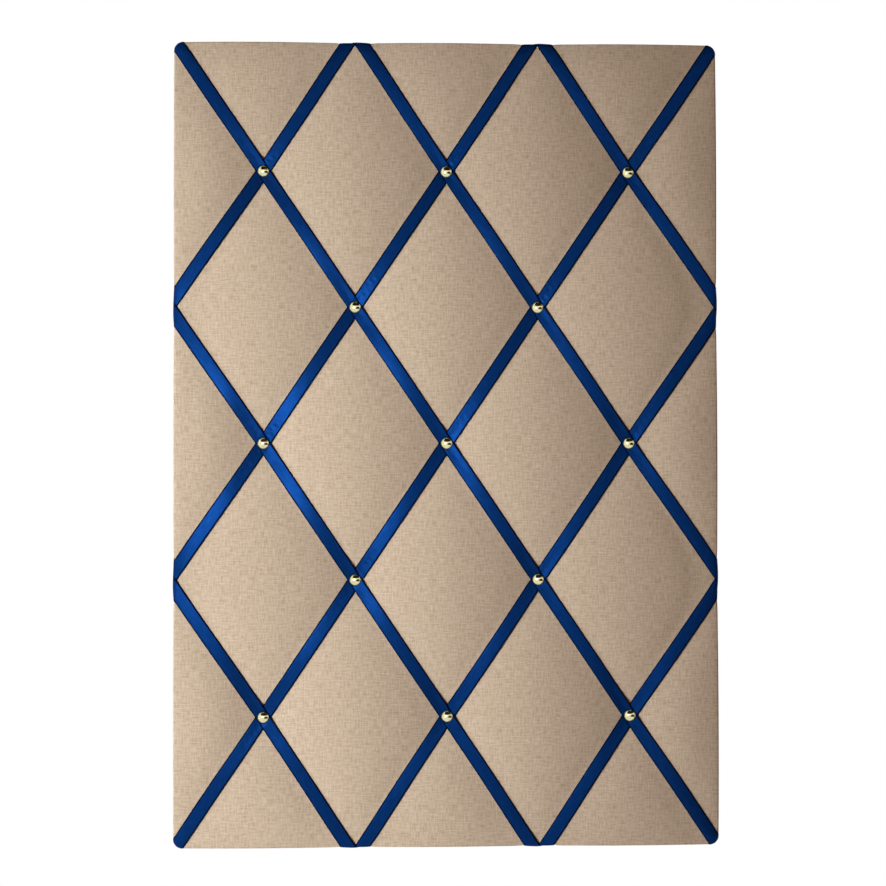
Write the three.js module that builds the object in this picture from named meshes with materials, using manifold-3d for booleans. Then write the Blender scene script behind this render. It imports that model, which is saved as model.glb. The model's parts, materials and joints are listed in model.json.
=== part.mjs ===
// A French memo board: a padded board in linen with a lattice of satin ribbons, held down by domed studs.
// While it is built, x runs to the right, y up the board and z out of its front, in millimetres.
// z = 0 is the back of the fabric hem. The finished board is stood up, so +Z is up and the front faces -Y.
import * as THREE from "three";
import { mergeVertices } from "three/addons/utils/BufferGeometryUtils.js";
import Module from "manifold-3d";

const wasm = await Module();
wasm.setup();

// Board, measured outside the fabric
const boardWidth = 400;
const boardHeight = 593;
const cornerRadius = 6;
const cornerSteps = 3;
const frontEdgeRadius = 5; // fabric over the padded front edge
const frontEdgeSteps = 3;
const rearEdgeRadius = 2;
const rearEdgeSteps = 2;
const coreThickness = 10;
const fabricThickness = 0.8;
const hemWidth = 35; // fabric turned onto the back
const fitGap = 0.3; // between pieces that lie on each other
const joinOverlap = 0.05; // regions that are joined reach this far into each other

// Padding
const padCrown = 9.5; // at the middle of a diamond
const ribbonSink = 4; // a ribbon presses the padding down by this
const studSink = 3.2; // a stud draws it down by this much more
const pillowPower = 2.5; // how fast the padding fills out beside a ribbon: 1 would be a straight slope
const tuftRing = 22; // from a ribbon to the ring of points that shapes each tuft
const bandMargin = 1; // the pressed band is wider than the ribbon by this at each edge

// Ribbon lattice
const diamonds = 3; // across the board and up it
const sideOverrun = 4.5; // two ribbons of a side edge meet this far outside it
const endOverrun = 8; // the same at the top and bottom edges
const ribbonWidth = 10;
const ribbonThickness = 0.5;
const ribbonTail = 28; // turned onto the back, square to the edge
const cornerTail = 40; // the same along the diagonal at a corner

// Studs
const studHeadDiameter = 9.5;
const studHeadHeight = 3.4;
const studRim = 0.5;
const studDomeSteps = 4;
const studShankDiameter = 1.8;
const studShankLength = 12;
const studPoint = 2;
const studSides = 12;
const holeSides = 5;

// Hangers on the back
const hangerSpacing = 200;
const hangerBelowHem = 25; // from the hem's edge down to the hinge of the rings
const strapWidth = 10;
const strapThickness = 0.8;
const strapLength = 28;
const strapFold = 8; // from the hinge to where the folded strap lies flat
const strapLoopSteps = 6;
const ringWire = 2.4;
const ringClearance = 0.3;
const ringWidth = 16; // between the middles of the wire
const ringDepth = 12;
const ringCornerRadius = 2.2;
const ringButtGap = 0.4; // where the wire's two ends meet inside the strap
const ringSides = 8;
const ringSteps = 36;
const screwFromHinge = 22;
const screwHeadDiameter = 7;
const screwHeadHeight = 2;
const screwHeadRim = 0.7;
const screwDomeSteps = 2;
const screwDiameter = 3;
const screwDepth = 7.5; // into the core
const screwPoint = 1.5;
const screwSides = 12;

// Bumpers on the back
const bumperSpacing = 260;
const bumperFromBottom = 18;
const bumperDiameter = 10;
const bumperThickness = 4;
const bumperBevel = 0.6;
const bumperSides = 16;

// Levels worked out from the sizes above
const coreRear = fabricThickness + fitGap;
const coreFront = coreRear + coreThickness;
const padRear = coreFront + fitGap;
const crownLevel = padRear + padCrown + fitGap + fabricThickness;
const wallTop = crownLevel - frontEdgeRadius; // the flat side wall ends here
const wallBottom = rearEdgeRadius;
const beyond = crownLevel + boardWidth / 10; // safely clear of the board
const hangerHeight = boardHeight / 2 - hemWidth - hangerBelowHem; // above the middle of the board

// Lattice coordinates: a falling ribbon is a line of constant p, a rising one a line of constant q
const stepX = (boardWidth + 2 * sideOverrun) / diamonds;
const stepY = (boardHeight + 2 * endOverrun) / diamonds;
const lineSpacing = (stepX * stepY) / Math.hypot(stepX, stepY);
const lastRibbon = diamonds - 1;
const bandHalf = ribbonWidth / 2 + bandMargin;
const latticeX = (p, q) => (stepX * (p + q)) / 2;
const latticeY = (p, q) => (stepY * (p - q)) / 2;

const fabric = material("#b9a48b", 0.95, 0);
const wadding = material("#f2efe8", 1, 0);
const fibreboard = material("#a5855c", 0.9, 0);
const satin = material("#0b3c8c", 0.35, 0);
const brass = material("#d9bb74", 0.18, 1);
const steel = material("#c9cbcc", 0.3, 1);
const felt = material("#5d5850", 1, 0);

function material(color, roughness, metalness) {
  return new THREE.MeshStandardMaterial({ color, roughness, metalness });
}

// Geometry to solid and back

const mergeTolerance = 1e-4; // vertices this near are one

function solid(geometry) {
  const bare = new THREE.BufferGeometry();
  bare.setAttribute("position", geometry.getAttribute("position"));
  bare.setIndex(geometry.index);
  const merged = mergeVertices(bare, mergeTolerance);
  const vertProperties = merged.getAttribute("position").array;
  const triVerts = new Uint32Array(merged.index.array);
  return new wasm.Manifold(new wasm.Mesh({ numProp: 3, vertProperties, triVerts }));
}

function geometryOf(body) {
  const mesh = body.getMesh();
  const geometry = new THREE.BufferGeometry();
  geometry.setAttribute("position", new THREE.BufferAttribute(mesh.vertProperties, mesh.numProp));
  geometry.setIndex(new THREE.BufferAttribute(mesh.triVerts, 1));
  return geometry.toNonIndexed();
}

function node(name, geometry, look) {
  const mesh = new THREE.Mesh(geometry, look);
  mesh.name = name;
  geometry.computeVertexNormals();
  return mesh;
}

// Prism over a flat outline of [u, v] points, from one level to another along u x v
function prism(outline, from, to, uAxis, vAxis) {
  const shape = new THREE.Shape(outline.map(([u, v]) => new THREE.Vector2(u, v)));
  const geometry = new THREE.ExtrudeGeometry(shape, { depth: to - from, bevelEnabled: false });
  const wAxis = new THREE.Vector3().crossVectors(uAxis, vAxis);
  const place = new THREE.Matrix4().makeBasis(uAxis, vAxis, wAxis);
  geometry.translate(0, 0, from).applyMatrix4(place);
  return solid(geometry);
}

const xAxis = new THREE.Vector3(1, 0, 0);
const yAxis = new THREE.Vector3(0, 1, 0);
const zAxis = new THREE.Vector3(0, 0, 1);

function planPrism(outline, from, to) {
  return prism(outline, from, to, xAxis, yAxis);
}

// Block over the board's rectangle, drawn in from its edges by an inset
function insetBlock(inset, from, to) {
  const x = boardWidth / 2 - inset;
  const y = boardHeight / 2 - inset;
  return planPrism([[-x, -y], [x, -y], [x, y], [-x, y]], from, to);
}

// Turned solid from [radius, height] points that start and end on the axis, standing along z
function turned(profile, sides) {
  const points = profile.map(([radius, height]) => new THREE.Vector2(radius, height));
  return new THREE.LatheGeometry(points, sides).rotateX(Math.PI / 2);
}

// Profile of a domed head that sits on level 0, from its underside out to its rim and up to the axis
function domedHead(radius, rim, height, steps) {
  const profile = [[radius, 0]];
  for (let step = 0; step < steps; step++) {
    const angle = (step / steps) * (Math.PI / 2);
    profile.push([radius * Math.cos(angle), rim + (height - rim) * Math.sin(angle)]);
  }
  return [...profile, [0, height]];
}

// Post along z at a place on the board, with flats no nearer to its axis than the radius
function post(x, y, radius, from, to) {
  const corner = radius / Math.cos(Math.PI / holeSides);
  const outline = [];
  for (let i = 0; i < holeSides; i++) {
    const angle = (2 * Math.PI * i) / holeSides;
    outline.push([x + corner * Math.cos(angle), y + corner * Math.sin(angle)]);
  }
  return planPrism(outline, from, to);
}

// Form of the covered board

function ribbonDistance(line) {
  const nearest = THREE.MathUtils.clamp(Math.round(line), -lastRibbon, lastRibbon);
  return Math.abs(line - nearest) * lineSpacing;
}

// 1 under a ribbon, easing to 0 midway to the next one, where the padding is full
function pressed(line) {
  const share = (ribbonDistance(line) - bandHalf) / (lineSpacing / 2 - bandHalf);
  return (1 - THREE.MathUtils.clamp(share, 0, 1)) ** pillowPower;
}

// Ribbons also cross just outside the edges of the board, without a stud
function hasStud(p, q) {
  return Math.abs(Math.round(p)) + Math.abs(Math.round(q)) <= lastRibbon;
}

function frontLevel(p, q) {
  const across = pressed(p);
  const along = pressed(q);
  const underRibbon = 1 - (1 - across) * (1 - along);
  const underStud = hasStud(p, q) ? across * along : 0;
  return crownLevel - ribbonSink * underRibbon - studSink * underStud;
}

// Lines of the grid along one family of ribbons: the edges of each band, any rings beside it and the middles
function latticeLines(rings) {
  const lines = [];
  for (let k = -diamonds; k <= diamonds; k++) {
    for (const reach of [bandHalf, ...rings]) lines.push(k - reach / lineSpacing, k + reach / lineSpacing);
    lines.push(k + 0.5);
  }
  return lines.sort((a, b) => a - b);
}

// Block under the pillowed front: a grid whose lines follow the ribbons, raised by rise(p, q)
function pillowBlock(rise, rings) {
  const lines = latticeLines(rings);
  const cells = lines.length - 1;
  const geometry = new THREE.BoxGeometry(cells, cells, 1, cells, cells, 1);
  const points = geometry.getAttribute("position");
  for (let i = 0; i < points.count; i++) {
    const q = lines[Math.round(points.getX(i) + cells / 2)];
    const p = lines[Math.round(points.getY(i) + cells / 2)];
    const level = points.getZ(i) > 0 ? frontLevel(p, q) + rise(p, q) : -beyond;
    points.setXYZ(i, latticeX(p, q), latticeY(p, q), level);
  }
  return solid(geometry);
}

function roundedOutline(inset) {
  const radius = Math.max(cornerRadius - inset, fitGap);
  const outline = [];
  for (let corner = 0; corner < 4; corner++) {
    const sideX = corner === 0 || corner === 3 ? 1 : -1;
    const sideY = corner < 2 ? 1 : -1;
    for (let step = 0; step <= cornerSteps; step++) {
      const angle = ((corner + step / cornerSteps) * Math.PI) / 2;
      const x = sideX * (boardWidth / 2 - inset - radius) + radius * Math.cos(angle);
      const y = sideY * (boardHeight / 2 - inset - radius) + radius * Math.sin(angle);
      outline.push([x, y]);
    }
  }
  return outline;
}

// Closed solid through a stack of level outlines that have equally many points
function loft(levels) {
  const count = levels[0].outline.length;
  const last = (levels.length - 1) * count;
  const positions = levels.flatMap(({ outline, z }) => outline.flatMap(([x, y]) => [x, y, z]));
  const triangles = [];
  for (let start = 0; start < last; start += count) {
    for (let i = 0; i < count; i++) {
      const here = start + i;
      const next = start + ((i + 1) % count);
      triangles.push(here, next, next + count, here, next + count, here + count);
    }
  }
  for (let i = 1; i < count - 1; i++) triangles.push(0, i + 1, i, last, last + i, last + i + 1);
  const geometry = new THREE.BufferGeometry();
  geometry.setAttribute("position", new THREE.Float32BufferAttribute(positions, 3));
  geometry.setIndex(triangles);
  return solid(geometry);
}

// The board's rounded outside, grown outwards everywhere by the same amount
function edgeBlock(grow) {
  const levels = [];
  for (let step = 0; step <= rearEdgeSteps; step++) {
    const angle = (step / rearEdgeSteps) * (Math.PI / 2);
    const radius = rearEdgeRadius + grow;
    const inset = rearEdgeRadius - radius * Math.sin(angle);
    levels.push({ outline: roundedOutline(inset), z: wallBottom - radius * Math.cos(angle) });
  }
  for (let step = 0; step <= frontEdgeSteps; step++) {
    const angle = (step / frontEdgeSteps) * (Math.PI / 2);
    const radius = frontEdgeRadius + grow;
    const inset = frontEdgeRadius - radius * Math.cos(angle);
    levels.push({ outline: roundedOutline(inset), z: wallTop + radius * Math.sin(angle) });
  }
  levels.push({ outline: roundedOutline(frontEdgeRadius), z: beyond });
  return loft(levels);
}

// The outside has a ring of points round each tuft
function coveredForm(grow, rise = () => grow) {
  return edgeBlock(grow).intersect(pillowBlock(rise, [tuftRing]));
}

// What lies under the fabric is drawn with fewer facets
function hiddenForm(depth) {
  return edgeBlock(-depth).intersect(pillowBlock(() => -depth, []));
}

// Studs: where ribbons cross, row by row from the top left

function studPlaces() {
  const places = [];
  for (let p = -lastRibbon; p <= lastRibbon; p++) {
    for (let q = -lastRibbon; q <= lastRibbon; q++) {
      if (hasStud(p, q)) places.push({ x: latticeX(p, q), y: latticeY(p, q) });
    }
  }
  return places.sort((a, b) => b.y - a.y || a.x - b.x);
}

const studSeat = frontLevel(0, 0) + 2 * (fitGap + ribbonThickness) + fitGap;

function studProfile() {
  const shank = studShankDiameter / 2;
  const head = domedHead(studHeadDiameter / 2, studRim, studHeadHeight, studDomeSteps);
  return [[0, -studShankLength], [shank, studPoint - studShankLength], [shank, 0], ...head];
}

function studHoles() {
  const radius = studShankDiameter / 2 + fitGap;
  const bottom = studSeat - studShankLength - fitGap;
  return studPlaces()
    .map(({ x, y }) => post(x, y, radius, bottom, beyond))
    .reduce((all, hole) => all.add(hole));
}

// Ribbons

// Layers that follow the cover, with their outside lifted off it: rising ribbons lie on the cover
function risingLayer() {
  const lift = fitGap + ribbonThickness;
  return { under: coveredForm(fitGap), over: coveredForm(lift), lift };
}

// 1 where a falling ribbon crosses a rising one, 0 from the tuft ring on
function crossing(line) {
  const distance = Math.abs(line - Math.round(line)) * lineSpacing;
  return 1 - THREE.MathUtils.clamp((distance - bandHalf) / (tuftRing - bandHalf), 0, 1);
}

// Falling ribbons cross over the rising ones and lie on the cover between
function fallingLayer() {
  const layer = fitGap + ribbonThickness;
  const lift = 2 * layer;
  const rise = (p, q) => fitGap + layer * crossing(q);
  const under = coveredForm(fitGap + layer, rise);
  return { under, over: coveredForm(lift, (p, q) => rise(p, q) + ribbonThickness), lift };
}

// Straight strip in plan, between two distances along a direction from a point
function strip(middle, along, from, to) {
  const half = ribbonWidth / 2;
  const corner = (distance, side) => [
    middle.x + along.x * distance - along.y * side * half,
    middle.y + along.y * distance + along.x * side * half,
  ];
  return [corner(from, -1), corner(to, -1), corner(to, 1), corner(from, 1)];
}

// The end that runs over a side wall and onto the back keeps its slant, as a flat ribbon does
function slantedEnd(middle, along, acrossX, lift) {
  const outward = acrossX ? along.x : along.y;
  const side = Math.sign(outward);
  const drift = (acrossX ? along.y : along.x) / Math.abs(outward);
  const half = ribbonWidth / 2 / Math.abs(outward);
  const wall = (acrossX ? boardWidth : boardHeight) / 2 + lift;
  const travel = wall - side * (acrossX ? middle.x : middle.y);
  const start = (acrossX ? middle.y : middle.x) + drift * travel;
  const low = start + drift * (wallTop - wallBottom);
  const end = low + drift * ribbonTail;
  const wallOutline = [[start - half, wallTop + joinOverlap], [start + half, wallTop + joinOverlap],
    [start + half, wallTop], [low + half, wallBottom], [low + half, wallBottom - joinOverlap],
    [low - half, wallBottom - joinOverlap], [low - half, wallBottom], [start - half, wallTop]];
  const tailOutline = [[low - half, wall + beyond], [low + half, wall + beyond], [low + half, wall],
    [end + half, wall - ribbonTail], [end - half, wall - ribbonTail], [low - half, wall]];
  const tail = tailOutline.map(([u, n]) => (acrossX ? [side * n, u] : [u, side * n]));
  const uAxis = acrossX ? yAxis : xAxis;
  const sweep = acrossX ? side : -side; // x cross z points to -y
  const inner = wall - lift;
  const near = Math.min(sweep * inner, sweep * (inner + beyond));
  const wallPrism = prism(wallOutline, near, near + beyond, uAxis, zAxis);
  return wallPrism.add(planPrism(tail, -beyond, wallBottom));
}

// The end that runs over a corner goes straight down it and back along its own diagonal
function cornerEnd(middle, along) {
  const reach = Math.hypot(boardWidth, boardHeight) / 2;
  const outline = strip(middle, along, reach - cornerTail, reach + beyond);
  return planPrism(outline, -beyond, wallTop + joinOverlap);
}

function ribbonPath(index, slope, lift) {
  const middle = slope < 0
    ? { x: latticeX(index, 0), y: latticeY(index, 0) }
    : { x: latticeX(0, index), y: latticeY(0, index) };
  const length = Math.hypot(stepX, stepY);
  const front = strip(middle, { x: stepX / length, y: (slope * stepY) / length }, -boardHeight, boardHeight);
  const tufted = planPrism(front, padRear, beyond).intersect(insetBlock(frontEdgeRadius, padRear, beyond));
  let region = planPrism(front, wallTop, beyond).add(tufted);
  for (const way of [-1, 1]) {
    const along = { x: (way * stepX) / length, y: (way * slope * stepY) / length };
    const toSide = (Math.sign(along.x) * boardWidth) / 2 - middle.x;
    const toEnd = (Math.sign(along.y) * boardHeight) / 2 - middle.y;
    const acrossX = Math.abs(toSide / along.x) < Math.abs(toEnd / along.y);
    region = region.add(index === 0 ? cornerEnd(middle, along) : slantedEnd(middle, along, acrossX, lift));
  }
  return region;
}

function ribbons(holes) {
  const meshes = [];
  for (const [family, slope, layer] of [["rising", 1, risingLayer()], ["falling", -1, fallingLayer()]]) {
    for (let index = -lastRibbon; index <= lastRibbon; index++) {
      const path = ribbonPath(index, slope, layer.lift);
      const body = layer.over.intersect(path).subtract(layer.under).subtract(holes);
      meshes.push(node(`ribbon_${family}_${index + diamonds}`, geometryOf(body), satin));
    }
  }
  return meshes;
}

// Board

function board(holes) {
  const inside = hiddenForm(fabricThickness);
  const filling = hiddenForm(fabricThickness + fitGap);
  const rearWindow = insetBlock(hemWidth, -beyond, fabricThickness + fitGap / 2);
  const cover = coveredForm(0).subtract(inside).subtract(rearWindow).subtract(holes);
  const padding = filling.intersect(insetBlock(-beyond, padRear, beyond)).subtract(holes);
  let core = filling.intersect(insetBlock(-beyond, -beyond, coreFront)).subtract(holes);
  for (const side of [-1, 1]) {
    const x = (side * hangerSpacing) / 2;
    const top = coreRear + screwDepth + fitGap;
    core = core.subtract(post(x, hangerHeight - screwFromHinge, screwDiameter / 2 + fitGap, -beyond, top));
  }
  return [
    node("core_board", geometryOf(core), fibreboard),
    node("padding", geometryOf(padding), wadding),
    node("fabric_cover", geometryOf(cover), fabric),
  ];
}

function studs() {
  return studPlaces().map(({ x, y }, i) => {
    const stud = node(`stud_${String(i + 1).padStart(2, "0")}`, turned(studProfile(), studSides), brass);
    stud.position.set(x, y, studSeat);
    return stud;
  });
}

// Hangers, seen from behind: z points away from the board's back and starts at the bare core

const loopBore = ringWire / 2 + ringClearance;
const strapRear = fitGap + 2 * strapThickness; // back of the folded strap
const hingeLevel = fitGap + strapThickness + loopBore;

// A strip folded round the ring's straight side, its two halves flat on each other below the hinge
function strapGeometry() {
  const outer = loopBore + strapThickness;
  const fold = { along: -strapFold, level: strapRear };
  const toHinge = Math.atan2(hingeLevel - fold.level, -fold.along);
  const lift = Math.asin(outer / Math.hypot(hingeLevel - fold.level, fold.along));
  const leaves = toHinge + lift + Math.PI / 2;
  const shape = new THREE.Shape();
  shape.moveTo(-strapLength, fitGap);
  shape.lineTo(0, fitGap);
  shape.absarc(0, hingeLevel, outer, -Math.PI / 2, leaves, false);
  shape.lineTo(fold.along, fold.level);
  shape.lineTo(-strapLength, strapRear);
  shape.closePath();
  const bore = new THREE.Path();
  bore.absarc(0, hingeLevel, loopBore, 0, 2 * Math.PI, true);
  shape.holes.push(bore);
  const settings = { depth: strapWidth, bevelEnabled: false, curveSegments: strapLoopSteps };
  const geometry = new THREE.ExtrudeGeometry(shape, settings);
  const place = new THREE.Matrix4().makeBasis(yAxis, zAxis, xAxis);
  geometry.translate(0, 0, -strapWidth / 2).applyMatrix4(place);
  const hole = post(0, -screwFromHinge, screwDiameter / 2 + fitGap, -beyond, beyond);
  return geometryOf(solid(geometry).subtract(hole));
}

// A D of round wire, its straight side on the hinge and its bow along +y
class RingPath extends THREE.CurvePath {
  constructor() {
    super();
    const half = ringWidth / 2;
    const round = ringCornerRadius;
    const shoulder = Math.max(ringDepth - half, round);
    const bend = (x, y, radiusX, radiusY, from, to) =>
      new THREE.EllipseCurve(x, y, radiusX, radiusY, from, to, false);
    this.add(new THREE.LineCurve(new THREE.Vector2(ringButtGap / 2, 0), new THREE.Vector2(half - round, 0)));
    this.add(bend(half - round, round, round, round, -Math.PI / 2, 0));
    this.add(bend(0, shoulder, half, ringDepth - shoulder, 0, Math.PI));
    this.add(bend(round - half, round, round, round, Math.PI, 1.5 * Math.PI));
    this.add(new THREE.LineCurve(new THREE.Vector2(round - half, 0), new THREE.Vector2(-ringButtGap / 2, 0)));
  }

  getPoint(share) {
    const point = super.getPoint(share);
    return new THREE.Vector3(point.x, point.y, 0);
  }
}

function ringGeometry() {
  const section = new THREE.Shape();
  for (let i = 0; i < ringSides; i++) {
    const angle = (2 * Math.PI * (i + 0.5)) / ringSides;
    const place = [(ringWire / 2) * Math.cos(angle), (ringWire / 2) * Math.sin(angle)];
    if (i === 0) section.moveTo(...place);
    else section.lineTo(...place);
  }
  const settings = { steps: ringSteps, extrudePath: new RingPath(), bevelEnabled: false };
  return new THREE.ExtrudeGeometry(section, settings);
}

function screwProfile() {
  const shank = screwDiameter / 2;
  const tip = -screwDepth - strapRear - fitGap;
  const head = domedHead(screwHeadDiameter / 2, screwHeadRim, screwHeadHeight, screwDomeSteps);
  return [[0, tip], [shank, tip + screwPoint], [shank, 0], ...head];
}

function hanger(side, name) {
  const group = new THREE.Group();
  group.position.set((side * hangerSpacing) / 2, hangerHeight, coreRear);
  group.rotation.y = Math.PI;
  const strap = node(`hanger_strap_${name}`, strapGeometry(), steel);
  const ring = node(`hanger_ring_${name}`, ringGeometry(), steel);
  const restTilt = Math.asin((strapRear + fitGap + ringWire / 2 - hingeLevel) / ringDepth);
  ring.position.z = hingeLevel;
  ring.rotation.x = Math.PI - restTilt; // hangs down, with its bow on the strap
  const screw = node(`hanger_screw_${name}`, turned(screwProfile(), screwSides), steel);
  screw.position.set(0, -screwFromHinge, strapRear + fitGap);
  group.add(strap, ring, screw);
  return group;
}

function bumper(side, name) {
  const group = new THREE.Group();
  group.position.set((side * bumperSpacing) / 2, bumperFromBottom - boardHeight / 2, 0);
  group.rotation.y = Math.PI;
  const radius = bumperDiameter / 2;
  const rear = fitGap + bumperThickness;
  const profile = [[0, fitGap], [radius, fitGap], [radius, rear - bumperBevel], [radius - bumperBevel, rear],
    [0, rear]];
  group.add(node(`wall_bumper_${name}`, turned(profile, bumperSides), felt));
  return group;
}

const memoBoard = new THREE.Group();
const holes = studHoles();
memoBoard.add(...board(holes), ...ribbons(holes), ...studs());
memoBoard.add(hanger(-1, "left"), hanger(1, "right"), bumper(-1, "left"), bumper(1, "right"));
memoBoard.rotation.x = Math.PI / 2;

const model = new THREE.Group();
model.add(memoBoard);

export default model;
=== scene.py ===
import json
import math
import random

import bmesh
import bpy
from mathutils import Matrix, Vector
from mathutils.bvhtree import BVHTree


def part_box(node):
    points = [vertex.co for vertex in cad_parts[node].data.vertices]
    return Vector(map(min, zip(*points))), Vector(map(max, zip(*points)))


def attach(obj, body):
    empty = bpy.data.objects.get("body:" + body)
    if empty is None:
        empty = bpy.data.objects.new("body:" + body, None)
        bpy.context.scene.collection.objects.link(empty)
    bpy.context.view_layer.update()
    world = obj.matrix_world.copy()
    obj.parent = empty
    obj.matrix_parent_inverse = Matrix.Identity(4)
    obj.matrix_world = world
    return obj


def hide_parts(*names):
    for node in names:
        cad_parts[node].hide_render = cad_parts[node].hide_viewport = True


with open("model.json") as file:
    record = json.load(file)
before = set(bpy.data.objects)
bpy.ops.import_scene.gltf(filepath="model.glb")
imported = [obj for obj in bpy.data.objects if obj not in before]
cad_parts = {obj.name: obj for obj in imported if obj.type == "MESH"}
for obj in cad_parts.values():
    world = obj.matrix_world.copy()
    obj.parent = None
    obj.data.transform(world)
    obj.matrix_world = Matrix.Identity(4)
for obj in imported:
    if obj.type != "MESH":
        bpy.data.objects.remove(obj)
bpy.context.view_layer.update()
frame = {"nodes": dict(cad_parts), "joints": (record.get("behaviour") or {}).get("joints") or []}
mm = 0.001
tiny = 0.01 * mm
print("frame loaded")

# the covered board: x to the right, z up, the front faces -y; a level is a height above the back of the hem
linenLow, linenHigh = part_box("fabric_cover")
edgeProud = 2 * mm  # the padding pushes the cloth out along the edges
board = {
    "halfX": linenHigh.x + edgeProud,
    "halfZ": linenHigh.z + edgeProud,
    "crown": linenHigh.y - linenLow.y,
    "cornerRadius": 7 * mm,  # seen from the front
    "edgeRadius": 1.2 * mm,  # round the front edge
    "rearRadius": 2 * mm,
    "hem": 35 * mm,  # linen turned onto the back
}
cornerX = board["halfX"] - board["cornerRadius"]
cornerZ = board["halfZ"] - board["cornerRadius"]
flatReach = board["cornerRadius"] - board["edgeRadius"]  # from a corner's centre to the end of the flat front
wallTop = board["crown"] - board["edgeRadius"]
roundRun = board["edgeRadius"] * math.pi / 2
wallRun = wallTop - board["rearRadius"]
rearRun = board["rearRadius"] * math.pi / 2


def middleOf(node):
    low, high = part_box(node)
    return (low + high) / 2


# the lattice: p is whole on a falling ribbon, q on a rising one, both on a stud
lattice = {
    "stepX": middleOf("stud_02").x - middleOf("stud_01").x,
    "stepZ": middleOf("stud_01").z - middleOf("stud_06").z,
    "last": 2,  # ribbons on each side of the middle one
}
lattice["length"] = math.hypot(lattice["stepX"], lattice["stepZ"])
lattice["spacing"] = lattice["stepX"] * lattice["stepZ"] / lattice["length"]
pillow = {
    "bandHalf": 6 * mm,  # the stretch that a ribbon presses flat
    "rise": 3.2 * mm,  # from the edges to the middle of the board
    "edgeRun": 50 * mm,
    "ribbonSink": 4.8 * mm,
    "studSink": 5.6 * mm,
    "power": 2.3,
    "tuftPower": 2,
    "edgeShare": 0.6,  # of the ribbons' sink, at the edges
}


def clamp(value, low=0.0, high=1.0):
    return min(max(value, low), high)


def ease(value):  # 0 to 1 with a soft start and end
    value = clamp(value)
    return value * value * (3 - 2 * value)


def latticeLines(x, z):
    return x / lattice["stepX"] + z / lattice["stepZ"], x / lattice["stepX"] - z / lattice["stepZ"]


def ribbonDistance(line):
    nearest = clamp(round(line), -lattice["last"], lattice["last"])
    return abs(line - nearest) * lattice["spacing"]


def pressed(line):  # 1 under a ribbon, 0 midway to the next
    reach = lattice["spacing"] / 2 - pillow["bandHalf"]
    return (1 - clamp((ribbonDistance(line) - pillow["bandHalf"]) / reach)) ** pillow["power"]


def tufted(line):  # a ribbon bows out from stud to stud
    return (1 - clamp(2 * ribbonDistance(line) / lattice["spacing"])) ** pillow["tuftPower"]


def sinkAt(x, z):  # how far ribbons and studs draw the front down
    p, q = latticeLines(x, z)
    sink = pillow["ribbonSink"] * (1 - (1 - pressed(p)) * (1 - pressed(q)))
    if abs(round(p)) + abs(round(q)) <= lattice["last"]:
        sink += pillow["studSink"] * tufted(p) * tufted(q)
    return sink


def beyond(x, z):  # how far a place lies outside the corners' centres, and which way that is
    outX, outZ = abs(x) - cornerX, abs(z) - cornerZ
    if outX > 0 and outZ > 0:
        far = math.hypot(outX, outZ)
        way = (outX / far, outZ / far)
    else:
        far, way = (outX, (1, 0)) if outX > outZ else (outZ, (0, 1))
    return far, Vector((math.copysign(way[0], x), math.copysign(way[1], z)))


def inside(x, z):  # the nearest place that isn't outside the corners' centres
    return Vector((clamp(x, -cornerX, cornerX), clamp(z, -cornerZ, cornerZ)))


def overEdge(run):  # from the run past the flat front to how far out and how high the cloth is
    if run < roundRun:
        angle = run / board["edgeRadius"]
        return board["edgeRadius"] * math.sin(angle), wallTop + board["edgeRadius"] * math.cos(angle)
    run -= roundRun
    if run < wallRun:
        return board["edgeRadius"], wallTop - run
    run -= wallRun
    flat = board["edgeRadius"] - board["rearRadius"]
    if run < rearRun:
        angle = run / board["rearRadius"]
        return flat + board["rearRadius"] * math.cos(angle), board["rearRadius"] * (1 - math.sin(angle))
    return flat - (run - rearRun), 0.0


def pressedLevel(x, z, level):  # the padding raises the front and the walls, the ribbons draw them down
    edge = clamp(1 + (beyond(x, z)[0] - board["cornerRadius"]) / pillow["edgeRun"])
    sink = sinkAt(x, z) * (1 - (1 - pillow["edgeShare"]) * edge)
    share = clamp((level - board["rearRadius"]) / wallRun)
    return level + (pillow["rise"] * (1 - edge * edge) - sink) * share


# materials

def colour(code):  # sRGB hex to linear
    parts = [int(code[i:i + 2], 16) / 255 for i in (1, 3, 5)]
    return [c / 12.92 if c <= 0.04045 else ((c + 0.055) / 1.055) ** 2.4 for c in parts] + [1.0]


def addNode(tree, kind, inputs=None, stops=(), **settings):
    node = tree.nodes.new(kind)
    for name, value in settings.items():
        setattr(node, name, value)
    for socket, value in (inputs or {}).items():
        if isinstance(value, bpy.types.NodeSocket):
            tree.links.new(value, node.inputs[socket])
        else:
            node.inputs[socket].default_value = value
    for index, (place, tint) in enumerate(stops):  # of a colour ramp
        elements = node.color_ramp.elements
        element = elements[index] if index < len(elements) else elements.new(place)
        element.position, element.color = place, colour(tint)
    return node


def newMaterial(name):
    material = bpy.data.materials.new(name)
    material.use_nodes = True
    material.node_tree.nodes.clear()
    return material, material.node_tree


def finishMaterial(tree, inputs):
    shader = addNode(tree, "ShaderNodeBsdfPrincipled", inputs)
    addNode(tree, "ShaderNodeOutputMaterial", {"Surface": shader.outputs["BSDF"]})


linenLook = {
    "light": "#dac6b0",
    "middle": "#c2ae95",
    "dark": "#a58f74",
    "yarn": 1.0,  # mm; the real yarns are 0.55 mm apart, too fine to show
    "slub": 7.0,  # mm, length of a thick place in a yarn
    "bump": 0.1,  # mm
}


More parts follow.
